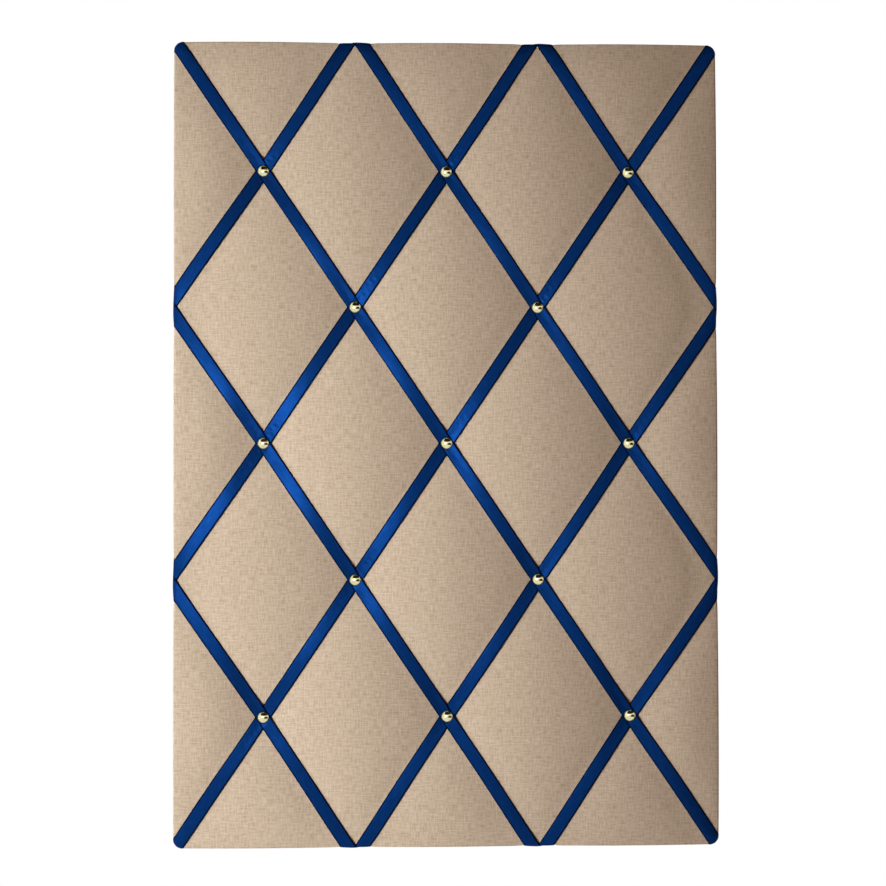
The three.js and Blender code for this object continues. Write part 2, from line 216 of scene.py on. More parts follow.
def linenMaterial():  # plain-woven linen, matt, with thick and thin yarns both ways
    look = linenLook
    material, tree = newMaterial("plainLinen")
    cloth = addNode(tree, "ShaderNodeUVMap", uv_map="cloth").outputs["UV"]
    place = addNode(tree, "ShaderNodeMapping", {"Vector": cloth, "Scale": (1000, 1000, 1000)}).outputs[0]
    heights = []
    slubs = []
    for name, scale in (("warp", (1 / look["yarn"], 1 / look["slub"], 1)),
                        ("weft", (1 / look["slub"], 1 / look["yarn"], 1))):
        stretched = addNode(tree, "ShaderNodeMapping", {"Vector": place, "Scale": scale}, label=name)
        slub = addNode(tree, "ShaderNodeTexNoise", {"Vector": stretched.outputs[0], "Scale": 1.0,
                       "Detail": 2.0, "Roughness": 0.6})
        slubs.append(slub.outputs["Fac"])
        direction = "X" if name == "warp" else "Y"
        yarnScale = 2 * math.pi / 20 / look["yarn"]
        yarn = addNode(tree, "ShaderNodeTexWave", {"Vector": place, "Scale": yarnScale, "Distortion": 0.6,
                       "Detail": 1.0, "Detail Scale": 0.2}, wave_type="BANDS", bands_direction=direction)
        heights.append(yarn.outputs["Fac"])
    slub = addNode(tree, "ShaderNodeMath", {0: slubs[0], 1: slubs[1]}, operation="ADD").outputs[0]
    weave = addNode(tree, "ShaderNodeMath", {0: heights[0], 1: heights[1]}, operation="MULTIPLY").outputs[0]
    tone = addNode(tree, "ShaderNodeMath", {0: weave, 1: 0.35, 2: slub}, operation="MULTIPLY_ADD").outputs[0]
    shade = addNode(tree, "ShaderNodeMapRange", {"Value": tone, "From Min": 0.65, "From Max": 1.6}).outputs[0]
    ramp = addNode(tree, "ShaderNodeValToRGB", {"Fac": shade},
                   stops=[(0.0, look["dark"]), (0.45, look["middle"]), (1.0, look["light"])])
    bump = addNode(tree, "ShaderNodeBump", {"Height": tone, "Strength": 0.6, "Distance": look["bump"] * mm})
    finishMaterial(tree, {"Base Color": ramp.outputs[0], "Roughness": 0.95, "Specular IOR Level": 0.05,
                          "Normal": bump.outputs[0]})
    return material


satinLook = {
    "face": "#092e64",
    # darker along both edges: partly the ribbon's woven selvedge, partly painted shade where the ribbon meets
    # the linen
    "selvedgeAndShade": "#010c26",
    "graze": "#1d4ea3",  # seen from the side
    "thread": 0.9,  # mm; the real floats are 0.1 mm wide, too fine to show
    "width": 10.0,  # mm
    "selvedgeAndShadeWidth": 0.8,  # mm, of the dark band along each edge, which is partly painted shade
}


def satinMaterial():  # polyester satin ribbon: long floats along it give a soft streak of light across
    look = satinLook
    material, tree = newMaterial("polyesterSatin")
    strip = addNode(tree, "ShaderNodeUVMap", uv_map="ribbon").outputs["UV"]
    place = addNode(tree, "ShaderNodeMapping", {"Vector": strip, "Scale": (1000, 1000, 1000)}).outputs[0]
    parts = addNode(tree, "ShaderNodeSeparateXYZ", {"Vector": place})
    fromMiddle = addNode(tree, "ShaderNodeMath", {0: parts.outputs["Y"]}, operation="ABSOLUTE").outputs[0]
    # 0 on the face, 1 at both edges: it darkens the colour, a real selvedge with painted edge shade, and
    #                                 roughens it
    edge = addNode(tree, "ShaderNodeMapRange", {"Value": fromMiddle,
                   "From Min": look["width"] / 2 - look["selvedgeAndShadeWidth"] * 1.4,
                   "From Max": look["width"] / 2 - look["selvedgeAndShadeWidth"] * 0.6}).outputs[0]
    floats = addNode(tree, "ShaderNodeTexNoise", {"Vector": addNode(tree, "ShaderNodeMapping", {
        "Vector": place, "Scale": (0.16, 1 / look["thread"], 1)}).outputs[0], "Scale": 1.0, "Detail": 2.0})
    tone = addNode(tree, "ShaderNodeMapRange", {"Value": floats.outputs["Fac"], "From Min": 0.3,
                   "From Max": 0.7, "To Min": 0.8, "To Max": 1.18}).outputs[0]
    face = addNode(tree, "ShaderNodeMix", {"Factor": edge, 6: colour(look["face"]),
                   7: colour(look["selvedgeAndShade"])}, data_type="RGBA").outputs[2]
    tint = addNode(tree, "ShaderNodeVectorMath", {0: face, 1: tone}, operation="MULTIPLY").outputs[0]
    rough = addNode(tree, "ShaderNodeMapRange", {"Value": edge, "To Min": 0.36, "To Max": 0.7}).outputs[0]
    bump = addNode(tree, "ShaderNodeBump", {"Height": floats.outputs["Fac"], "Strength": 0.25,
                   "Distance": 0.05 * mm})
    along = addNode(tree, "ShaderNodeTangent", direction_type="UV_MAP", uv_map="ribbon")
    finishMaterial(tree, {"Base Color": tint, "Metallic": 0.6, "Roughness": rough, "Specular IOR Level": 0.1,
                          "Specular Tint": colour(look["graze"]), "Anisotropic": 0.65,
                          "Anisotropic Rotation": 0.25, "Tangent": along.outputs[0],
                          "Normal": bump.outputs[0]})
    return material


def brassMaterial():  # polished brass-plated steel: a clear mirror, faintly uneven from the press
    material, tree = newMaterial("polishedBrass")
    place = addNode(tree, "ShaderNodeTexCoord").outputs["Object"]
    uneven = addNode(tree, "ShaderNodeTexNoise", {"Vector": place, "Scale": 1 / (2.5 * mm), "Detail": 2.0})
    rough = addNode(tree, "ShaderNodeMapRange", {"Value": uneven.outputs["Fac"],
                    "To Min": 0.08, "To Max": 0.17}).outputs[0]
    ramp = addNode(tree, "ShaderNodeValToRGB", {"Fac": uneven.outputs["Fac"]},
                   stops=[(0.3, "#e3dea6"), (0.7, "#f0ecc2")])
    bump = addNode(tree, "ShaderNodeBump", {"Height": uneven.outputs["Fac"], "Strength": 0.08,
                   "Distance": 0.05 * mm})
    finishMaterial(tree, {"Base Color": ramp.outputs[0], "Metallic": 1.0, "Roughness": rough,
                          "Normal": bump.outputs[0]})
    return material


def steelMaterial():  # zinc-plated steel: bright, a little cloudy
    material, tree = newMaterial("zincPlatedSteel")
    place = addNode(tree, "ShaderNodeTexCoord").outputs["Object"]
    cloud = addNode(tree, "ShaderNodeTexNoise", {"Vector": place, "Scale": 1 / (3 * mm), "Detail": 4.0})
    rough = addNode(tree, "ShaderNodeMapRange", {"Value": cloud.outputs["Fac"],
                    "To Min": 0.22, "To Max": 0.42}).outputs[0]
    ramp = addNode(tree, "ShaderNodeValToRGB", {"Fac": cloud.outputs["Fac"]},
                   stops=[(0.3, "#b4b8ba"), (0.7, "#d3d5d4")])
    bump = addNode(tree, "ShaderNodeBump", {"Height": cloud.outputs["Fac"], "Strength": 0.1,
                   "Distance": 0.05 * mm})
    finishMaterial(tree, {"Base Color": ramp.outputs[0], "Metallic": 1.0, "Roughness": rough,
                          "Normal": bump.outputs[0]})
    return material


def fibreboardMaterial():  # pressed wood fibre: matt brown with short pale and dark fibres
    material, tree = newMaterial("pressedFibreboard")
    place = addNode(tree, "ShaderNodeTexCoord").outputs["Object"]
    fine = addNode(tree, "ShaderNodeTexNoise", {"Vector": place, "Scale": 1 / (1.6 * mm), "Detail": 5.0,
                   "Roughness": 0.7})
    broad = addNode(tree, "ShaderNodeTexNoise", {"Vector": place, "Scale": 1 / (45 * mm), "Detail": 2.0})
    tone = addNode(tree, "ShaderNodeMath", {0: broad.outputs["Fac"], 1: 0.5, 2: fine.outputs["Fac"]},
                   operation="MULTIPLY_ADD").outputs[0]
    ramp = addNode(tree, "ShaderNodeValToRGB", {"Fac": tone},
                   stops=[(0.5, "#8a6b47"), (0.75, "#a5855c"), (0.98, "#bd9f76")])
    bump = addNode(tree, "ShaderNodeBump", {"Height": fine.outputs["Fac"], "Strength": 0.4,
                   "Distance": 0.1 * mm})
    finishMaterial(tree, {"Base Color": ramp.outputs[0], "Roughness": 0.85, "Specular IOR Level": 0.3,
                          "Normal": bump.outputs[0]})
    return material


def feltMaterial():  # pressed wool felt: matt, fuzzy, flecked
    material, tree = newMaterial("pressedFelt")
    place = addNode(tree, "ShaderNodeTexCoord").outputs["Object"]
    fuzz = addNode(tree, "ShaderNodeTexNoise", {"Vector": place, "Scale": 1 / (0.7 * mm), "Detail": 5.0,
                   "Roughness": 0.75})
    ramp = addNode(tree, "ShaderNodeValToRGB", {"Fac": fuzz.outputs["Fac"]},
                   stops=[(0.3, "#4c4740"), (0.7, "#736d63")])
    bump = addNode(tree, "ShaderNodeBump", {"Height": fuzz.outputs["Fac"], "Strength": 0.8,
                   "Distance": 0.25 * mm})
    finishMaterial(tree, {"Base Color": ramp.outputs[0], "Roughness": 1.0, "Specular IOR Level": 0.1,
                          "Sheen Weight": 0.4, "Normal": bump.outputs[0]})
    return material


def waddingMaterial():  # polyester wadding: white, soft, in faint clumps
    material, tree = newMaterial("polyesterWadding")
    place = addNode(tree, "ShaderNodeTexCoord").outputs["Object"]
    clump = addNode(tree, "ShaderNodeTexNoise", {"Vector": place, "Scale": 1 / (6 * mm), "Detail": 4.0})
    ramp = addNode(tree, "ShaderNodeValToRGB", {"Fac": clump.outputs["Fac"]},
                   stops=[(0.3, "#e2dfd6"), (0.7, "#f6f4ee")])
    bump = addNode(tree, "ShaderNodeBump", {"Height": clump.outputs["Fac"], "Strength": 0.5,
                   "Distance": 1 * mm})
    finishMaterial(tree, {"Base Color": ramp.outputs[0], "Roughness": 1.0, "Specular IOR Level": 0.1,
                          "Normal": bump.outputs[0]})
    return material


linen, satin, brass, steel = linenMaterial(), satinMaterial(), brassMaterial(), steelMaterial()
fibreboard, felt, wadding = fibreboardMaterial(), feltMaterial(), waddingMaterial()
print("materials made")


def makeObject(name, bm, material, body="board", smooth=True):
    mesh = bpy.data.meshes.new(name)
    bm.to_mesh(mesh)
    bm.free()
    piece = bpy.data.objects.new(name, mesh)
    bpy.context.scene.collection.objects.link(piece)
    mesh.materials.append(material)
    mesh.polygons.foreach_set("use_smooth", [smooth] * len(mesh.polygons))
    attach(piece, body)
    return piece


ribbonHalf = 5 * mm  # half its width
roundBevel = {"profile": 0.5, "affect": "EDGES", "material": -1}

# linen cover: one sheet over the padding, round the edges and onto the back

cover = {
    "spacing": 3.2 * mm,  # between points of the cloth
    "cornerSteps": 6,
    "edgeSteps": 4,
    "rearSteps": 3,
    "thickness": 0.8 * mm,
    "puff": 0.7 * mm,  # the padding swells the cloth by this in the simulation
    "frames": 20,
    "cloth": {"mass": 0.005, "quality": 4, "tension_stiffness": 30, "compression_stiffness": 30,
              "shear_stiffness": 10, "bending_stiffness": 0.02, "air_damping": 5, "use_pressure": True,
              "uniform_pressure_force": 20.0},
    "edgeFade": 45 * mm,  # the swelling dies out towards the edges
    "edgePuff": 0.4 * mm,  # the padded edges stand out between the ribbons
    "edgeReach": 6 * mm,  # from a ribbon
    "edgeRun": 25 * mm,  # in from the edge
    "merge": 0.9 * mm,  # corner points this close become one
    "hemUneven": 0.7 * mm,  # cut by hand
    "hemEdge": 2 * mm,
    "mitre": 0.6 * mm,  # half width and depth of the seam where two hems meet
    "cut": (0.506, 0.7),  # m, before it was wrapped round the board
}


def flatPlace(place, middle):  # where a point of the wrapped cloth lies on the flat cut
    x, z, level = place.x, place.z, -place.y
    if -middle.y < board["rearRadius"] / 2:  # on the back
        run = roundRun + wallRun + rearRun
        if board["halfX"] - abs(middle.x) < board["halfZ"] - abs(middle.z):
            return math.copysign(cornerX + run + board["halfX"] - abs(x), x), z
        return x, math.copysign(cornerZ + run + board["halfZ"] - abs(z), z)
    far, way = beyond(x, z)
    if far < flatReach:
        return x, z
    run = roundRun + wallTop - level
    if level > wallTop:
        run = board["edgeRadius"] * math.atan2(far - flatReach, level - wallTop)
    return inside(x, z) + way * (flatReach + run)


def largestFace(bm, facing):
    return max((f for f in bm.faces if f.normal.y * facing > 0.99), key=lambda f: f.calc_area())


def insetFace(bm, facing, width):  # rounded corners that shrink to nothing become one point
    bmesh.ops.inset_region(bm, faces=[largestFace(bm, facing)], thickness=width, use_even_offset=True)
    verts = largestFace(bm, facing).verts[:]
    reachX, reachZ = max(abs(v.co.x) for v in verts), max(abs(v.co.z) for v in verts)
    bmesh.ops.remove_doubles(bm, verts=verts, dist=cover["merge"])
    for vert in largestFace(bm, facing).verts:
        vert.co.x, vert.co.z = math.copysign(reachX, vert.co.x), math.copysign(reachZ, vert.co.z)


def mitreSide(place):  # on the back, how far a place is from the line where two hems meet
    if place.y < -tiny:
        return 1
    return (board["halfX"] - abs(place.x)) - (board["halfZ"] - abs(place.z))


def cutSeam(bm, x, z):  # a cut on both sides of the line where two hems meet at a corner
    corner = Vector((x * board["halfX"], 0, z * board["halfZ"]))
    for way in (-1, 1):
        hems = [f for f in bm.faces if f.normal.y > 0.99
                and (f.calc_center_median() - corner).length < 1.4 * board["hem"]]
        near = list({g for f in hems for g in (f, *f.edges, *f.verts)})
        bmesh.ops.bisect_plane(bm, geom=near, plane_co=corner + Vector((x * way * cover["mitre"], 0, 0)),
                               plane_no=(x, 0, -z))


def clothShell():
    bm = bmesh.new()
    size = Matrix.Diagonal((2 * board["halfX"], board["crown"], 2 * board["halfZ"], 1))
    bmesh.ops.create_cube(bm, size=1, matrix=Matrix.Translation((0, -board["crown"] / 2, 0)) @ size)
    corners = [e for e in bm.edges if abs(e.verts[0].co.y - e.verts[1].co.y) > wallTop]
    bmesh.ops.bevel(bm, geom=corners, offset=board["cornerRadius"], segments=cover["cornerSteps"],
                    **roundBevel)
    for facing, radius, steps in ((-1, board["edgeRadius"], cover["edgeSteps"]),
                                  (1, board["rearRadius"], cover["rearSteps"])):
        edges = largestFace(bm, facing).edges[:]
        bmesh.ops.bevel(bm, geom=edges, offset=radius, segments=steps, **roundBevel)
    insetFace(bm, -1, flatReach)
    insetFace(bm, 1, board["cornerRadius"] - board["rearRadius"])
    insetFace(bm, 1, board["hem"] - board["cornerRadius"] - cover["hemEdge"])
    insetFace(bm, 1, cover["hemEdge"])
    bmesh.ops.delete(bm, geom=[largestFace(bm, 1)], context="FACES")
    for axis in (0, 2):
        long = [e for e in bm.edges if abs((e.verts[0].co - e.verts[1].co)[axis]) > board["halfX"]
                and abs((e.verts[0].co - e.verts[1].co)[2 - axis]) < tiny]
        cuts = round(2 * (cornerX, 0, cornerZ)[axis] / cover["spacing"]) - 1
        bmesh.ops.subdivide_edges(bm, edges=long, cuts=cuts, use_grid_fill=True)
    bmesh.ops.recalc_face_normals(bm, faces=bm.faces[:])
    for x, z in ((-1, -1), (-1, 1), (1, -1), (1, 1)):
        cutSeam(bm, x, z)
    return bm


def fullness(x, z):  # 0 under a ribbon and at the edges, 1 in the middle of a diamond
    p, q = latticeLines(x, z)
    edge = min(board["halfX"] - abs(x), board["halfZ"] - abs(z)) / cover["edgeFade"]
    return (1 - pressed(p)) * (1 - pressed(q)) * ease(edge)


def edgeTight(line):  # 1 where a ribbon holds the edge down, 0 away from it; the corners stay full
    if round(line) == 0:
        return 0
    return 1 - ease((ribbonDistance(line) - ribbonHalf) / cover["edgeReach"])


def shapeEdges(mesh):  # the edges swell between the ribbons, and the hem's cut is a little uneven
    for vert in mesh.vertices:
        x, z, level = vert.co.x, vert.co.z, -vert.co.y
        far, way = beyond(x, z)
        p, q = latticeLines(x, z)
        free = (1 - edgeTight(p)) * (1 - edgeTight(q))
        near = clamp(1 + (far - board["cornerRadius"]) / cover["edgeRun"])
        if level > board["rearRadius"] / 2:
            push = way * cover["edgePuff"] * free * near * near * clamp(level / cover["edgeReach"])
            vert.co += Vector((push.x, 0, push.y))
        inX, inZ = board["halfX"] - abs(x), board["halfZ"] - abs(z)
        if abs(mitreSide(vert.co)) < 0.1 * mm:
            vert.co.y -= cover["mitre"] * ease((inX - board["cornerRadius"]) / cover["edgeReach"])
        if level < 0.1 * mm and min(inX, inZ) > board["hem"] - 1 * mm:
            along = z if inX < inZ else x
            slip = cover["hemUneven"] * (math.sin(along * 97) + math.sin(along * 233 + 1) / 2)
            vert.co.x -= math.copysign(slip, x) * (abs(inX - board["hem"]) < 1 * mm)
            vert.co.z -= math.copysign(slip, z) * (abs(inZ - board["hem"]) < 1 * mm)


def swell(piece, free):  # cloth simulation: the padding pushes, the ribbons and edges hold
    group = piece.vertex_groups.new(name="held")
    for index, share in enumerate(free):
        group.add([index], 1 - share, "REPLACE")
    cloth = piece.modifiers.new("cloth", "CLOTH")
    cloth.settings.vertex_group_mass = "held"
    for name, value in cover["cloth"].items():
        setattr(cloth.settings, name, value)
    cloth.settings.effector_weights.gravity = 0
    cloth.point_cache.frame_end = cover["frames"]
    scene = bpy.context.scene
    for step in range(1, cover["frames"] + 1):
        scene.frame_set(step)
    shown = piece.evaluated_get(bpy.context.evaluated_depsgraph_get()).to_mesh()
    moved = [v.co.copy() for v in shown.vertices]
    scene.frame_set(1)
    piece.modifiers.remove(cloth)
    piece.vertex_groups.remove(group)
    return moved


def makeCover():
    bm = clothShell()
    uv = bm.loops.layers.uv.new("cloth")
    for face in bm.faces:
        middle = face.calc_center_median()
        for loop in face.loops:
            loop[uv].uv = flatPlace(loop.vert.co, middle)
    free = []
    for vert in bm.verts:
        x, z, level = vert.co.x, vert.co.z, -vert.co.y
        full = 0
        if level > wallTop - 0.1 * mm:
            full = fullness(x, z)
            vert.co.y = -pressedLevel(x, z, level) + cover["puff"] * full
        free.append(clamp(4 * full))
    piece = makeObject("linenCover", bm, linen)
    start = [v.co.copy() for v in piece.data.vertices]
    moved = swell(piece, free)
    rise = [(b - a).y for a, b in zip(start, moved)]
    top = -sorted(rise)[len(rise) // 50]  # the fullest places
    print("cloth rose", round(top / mm, 2), "mm before it was matched to the crown")
    for vert, move in zip(piece.data.vertices, rise):
        vert.co.y += clamp(move * cover["puff"] / max(top, tiny), -1.2 * cover["puff"], 0)
    shapeEdges(piece.data)
    wall = piece.modifiers.new("thickness", "SOLIDIFY")
    wall.thickness = cover["thickness"]
    wall.offset = -1
    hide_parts("fabric_cover")
    return piece


linenCover = makeCover()
linenTree = BVHTree.FromPolygons([v.co for v in linenCover.data.vertices],
                                 [p.vertices for p in linenCover.data.polygons])
print("linen cover made")

# wadding under the linen

padding = {"spacing": 8 * mm, "gap": 1.4 * mm, "inset": 3 * mm}


def makeWadding():
    low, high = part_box("padding")
    bm = bmesh.new()
    wide, tall = high.x - low.x, high.z - low.z
    size = Matrix.Diagonal((wide / 2 - padding["inset"], tall / 2 - padding["inset"], 1, 1))
    bmesh.ops.create_grid(bm, x_segments=round(wide / padding["spacing"]),
                          y_segments=round(tall / padding["spacing"]), size=1,
                          matrix=Matrix.Rotation(math.pi / 2, 4, "X") @ size)
    sheet = bm.faces[:]
    lifted = bmesh.ops.extrude_face_region(bm, geom=sheet)["geom"]
    for vert in lifted:
        if isinstance(vert, bmesh.types.BMVert):
            hit = linenTree.ray_cast(Vector((vert.co.x, -1, vert.co.z)), Vector((0, 1, 0)))[0]
            vert.co.y = hit.y + padding["gap"]
    for vert in {v for f in sheet for v in f.verts}:
        vert.co.y = high.y
    bmesh.ops.recalc_face_normals(bm, faces=bm.faces[:])
    piece = makeObject("waddingSheet", bm, wadding)
    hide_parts("padding")


makeWadding()
print("wadding made")

# satin ribbons: flat strips laid along the lattice, over the edges and onto the back

ribbon = {
    "thickness": 0.4 * mm,
    "lift": 0.8 * mm,  # of its face off the linen
    "wallLift": 0.5 * mm,  # drawn tight round the edges
    "crown": 0.25 * mm,  # its middle stands higher than its selvedges
    "crossing": 16 * mm,  # a ribbon that passes over another leaves the linen this far before it
    "tail": 26 * mm,  # flat on the back
    "cornerTail": 33 * mm,
    "spread": 1.6 * mm,  # they run this much wider at the edges
    "spreadRun": 60 * mm,  # from the edge
    "cornerRun": 10 * mm,  # down an upright corner, until it keeps its width
    "tailRun": 8 * mm,  # on the back, until it is straight again
    "frontRun": 6 * mm,  # from the edge, until it has its full lift
    "backRun": 5 * mm,  # before the back, where the crossing ends
    "stapled": 9 * mm,  # from each end
    "step": 0.6 * mm,
    "across": 8,
}


def overCorner(corner, outward, normal, run, side):  # run is counted from the corner's centre
    turn = math.atan2(side, run)
    widen = clamp((run - board["cornerRadius"]) / ribbon["cornerRun"])
    turn += (side / board["cornerRadius"] - turn) * widen
    reach = math.hypot(run, side)
    out, level = overEdge(max(reach + (run - reach) * widen - flatReach, 0))
    out += min(reach, flatReach)
    around = outward * math.cos(turn) + normal * math.sin(turn)
    flat = clamp((run - flatReach - roundRun - wallRun) / ribbon["tailRun"])
    plan = corner + (out * around).lerp(out * outward + side * normal, flat)
    return Vector((plan.x, -pressedLevel(plan.x, plan.y, level), plan.y))


def ribbonPlace(middle, along, distance, side):  # a flat strip's point, wrapped round the board
    normal = Vector((-along.y, along.x))
    flat = middle + along * distance + normal * side
    toX, toZ = abs(flat.x) - board["halfX"], abs(flat.y) - board["halfZ"]
    flat.x += math.copysign(ribbon["spread"], flat.x) * ease(1 + toX / ribbon["spreadRun"])
    flat.y += math.copysign(ribbon["spread"], flat.y) * ease(1 + toZ / ribbon["spreadRun"])
    far, way = beyond(flat.x, flat.y)
    corner = inside(flat.x, flat.y)
    outward = along * math.copysign(1, distance)
    if min(abs(way.x), abs(way.y)) > 0:  # outside a corner's centre
        return overCorner(corner, outward, normal, (flat - corner).dot(outward), (flat - corner).dot(normal))
    plan, level = flat, board["crown"]
    if far > flatReach:
        out, level = overEdge(far - flatReach)
        plan = corner + way * (flatReach + out)
    return Vector((plan.x, -pressedLevel(plan.x, plan.y, level), plan.y))


def ribbonEnd(middle, along, way):  # length of a strip from its middle to the end of its tail
    toX = (cornerX + flatReach - way * math.copysign(1, along.x) * middle.x) / abs(along.x)
    toZ = (cornerZ + flatReach - way * math.copysign(1, along.y) * middle.y) / abs(along.y)
    wrapped = roundRun + wallRun + rearRun
    if abs(toX - toZ) < 2 * ribbonHalf:
        return min(toX, toZ) + wrapped + ribbon["cornerTail"]
    if toX < toZ:
        return toX + (wrapped + ribbon["tail"]) / abs(along.x)
    return toZ + (wrapped + ribbon["tail"]) / abs(along.y)


ribbonEnds = []  # both sides of each ribbon, where a staple crosses it


def onLinen(place, lift):
    spot, normal = linenTree.find_nearest(place)[:2]
    return spot + normal * lift


def makeRibbon(family, index):
    falls = family == "falling"
    x, z = lattice["stepX"] * index / 2, lattice["stepZ"] * index / 2
    middle = Vector((x, z if falls else -z))
    along = Vector((lattice["stepX"], -lattice["stepZ"] if falls else lattice["stepZ"])) / lattice["length"]
    first, last = -ribbonEnd(middle, along, -1), ribbonEnd(middle, along, 1)
    bm = bmesh.new()
    uv = bm.loops.layers.uv.new("ribbon")
    size = Matrix.Diagonal(((last - first) / 2, ribbonHalf, 1, 1))
    bmesh.ops.create_grid(bm, x_segments=round((last - first) / ribbon["step"]), y_segments=ribbon["across"],
                          size=1, matrix=Matrix.Translation(((first + last) / 2, 0, 0)) @ size)
    for face in bm.faces:
        for loop in face.loops:
            loop[uv].uv = loop.vert.co.xy
    for vert in bm.verts:
        distance, side = vert.co.x, vert.co.y
        place = ribbonPlace(middle, along, distance, side)
        spot, normal = place, Vector((0, 1, 0))  # flat on the back
        if place.y < -tiny:
            spot, normal = linenTree.find_nearest(place)[:2]
        front = clamp((flatReach - beyond(place.x, place.z)[0]) / ribbon["frontRun"])
        lift = ribbon["wallLift"] + (ribbon["lift"] - ribbon["wallLift"]) * front
        if falls:
            near = ribbonDistance(latticeLines(place.x, place.z)[1])
            over = (1 - clamp((near - ribbonHalf) / ribbon["crossing"])) ** 2
            lift *= 1 + over * clamp(-place.y / ribbon["backRun"])
        vert.co = spot + normal * (lift - ribbon["crown"] * abs(side / ribbonHalf) ** 3)
    for distance in (first + ribbon["stapled"], last - ribbon["stapled"]):
        ribbonEnds.append([onLinen(ribbonPlace(middle, along, distance, side), ribbon["wallLift"])
                           for side in (-ribbonHalf, ribbonHalf)])
    bmesh.ops.recalc_face_normals(bm, faces=bm.faces[:])
    if sum(f.normal.y for f in bm.faces) > 0:
        bmesh.ops.reverse_faces(bm, faces=bm.faces[:])
    number = index + lattice["last"] + 1
    piece = makeObject(f"satinRibbon_{family}_{number}", bm, satin)
    wall = piece.modifiers.new("thickness", "SOLIDIFY")
    wall.thickness = ribbon["thickness"]
    wall.offset = -1
    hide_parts(f"ribbon_{family}_{number}")


for family in ("rising", "falling"):
    for index in range(-lattice["last"], lattice["last"] + 1):
        makeRibbon(family, index)
print("ribbons made")

# studs: pressed domes with a rolled rim

stud = {
    "radius": 4.75 * mm,
    "height": 3.4 * mm,
    "rim": 0.5 * mm,
    "shank": 0.9 * mm,
    "steps": 48,
    "domeSteps": 12,
}


def spun(outline, place, steps):  # an outline of radius and y, turned round the line through a place along y
    bm = bmesh.new()
    verts = [bm.verts.new((place.x + radius, y, place.z)) for radius, y in outline]
    edges = [bm.edges.new(pair) for pair in zip(verts, verts[1:])]
    bmesh.ops.spin(bm, geom=verts + edges, cent=place, axis=(0, 1, 0), angle=2 * math.pi, steps=steps,
                   use_merge=True)
    bmesh.ops.remove_doubles(bm, verts=bm.verts[:], dist=tiny)
    bmesh.ops.recalc_face_normals(bm, faces=bm.faces[:])
    return bm


def makeStud(node):
    low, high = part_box(node)
    place = middleOf(node)
    seat = low.y + stud["height"]
    outline = [(0, high.y), (stud["shank"], high.y - 2 * stud["shank"]), (stud["shank"], seat),
               (stud["radius"] - stud["rim"] / 2, seat), (stud["radius"], seat - stud["rim"] / 2)]
    rise = stud["height"] - stud["rim"]
    ball = (stud["radius"] ** 2 + rise ** 2) / (2 * rise)
    for step in range(stud["domeSteps"] + 1):
        angle = (1 - step / stud["domeSteps"]) * math.asin(stud["radius"] / ball)
        outline.append((ball * math.sin(angle), low.y + ball * (1 - math.cos(angle))))
    bm = spun(outline, place, stud["steps"])
    piece = makeObject(node.replace("stud", "brassStud"), bm, brass)
    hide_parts(node)


for name in sorted(frame["nodes"]):
    if name.startswith("stud_"):
        makeStud(name)
print("studs made")

# hangers: a folded steel strap, a D ring of round wire and a pan-head screw on each side

hanger = {
    "strapWidth": 10 * mm,
    "strapThickness": 0.8 * mm,
    "strapLength": 28 * mm,
    "strapFold": 8 * mm,  # from the hinge to where the folded strap lies flat
    "strapEdge": 0.12 * mm,
    "loop": 1.9 * mm,  # from the hinge to the middle of the strap
    "loopSteps": 20,
    "wire": 2.4 * mm,
    "wireSides": 16,
    "ringWidth": 16 * mm,  # between the middles of the wire
    "ringDepth": 12 * mm,
    "ringCorner": 2.2 * mm,
    "ringStand": 0.8 * mm,  # the bow rests on the strap, this much higher than the hinge
    "buttGap": 0.4 * mm,  # where the wire's ends meet
    "headRadius": 3.5 * mm,
    "headHeight": 2 * mm,
    "headRim": 0.7 * mm,
    "headEdge": 0.2 * mm,
    "shank": 1.5 * mm,
    "headSteps": 40,
    "domeSteps": 8,
    "recess": (4.0 * mm, 0.9 * mm, 2.2 * mm),  # the driver's cross: length, width, twice its depth
}
hingeOf = {joint["child"]: Vector(joint["pos_m"]) for joint in frame["joints"]}


def newEdges(geom):
    verts = {g for g in geom if isinstance(g, bmesh.types.BMVert)}
    return [g for g in geom if isinstance(g, bmesh.types.BMEdge) and verts.issuperset(g.verts)]


def drawOut(bm, edges, move):  # extrudes edges straight, and gives the new ones
    grown = bmesh.ops.extrude_edge_only(bm, edges=edges)["geom"]
    bmesh.ops.translate(bm, verts=[g for g in grown if isinstance(g, bmesh.types.BMVert)], vec=move)
    return newEdges(grown)


def bendRound(bm, edges, centre, axis, angle, steps):  # extrudes edges round an axis, and gives the new ones
    verts = list({v for e in edges for v in e.verts})
    grown = bmesh.ops.spin(bm, geom=verts + edges, cent=centre, axis=axis, angle=angle, steps=steps)
    return newEdges(grown["geom_last"])


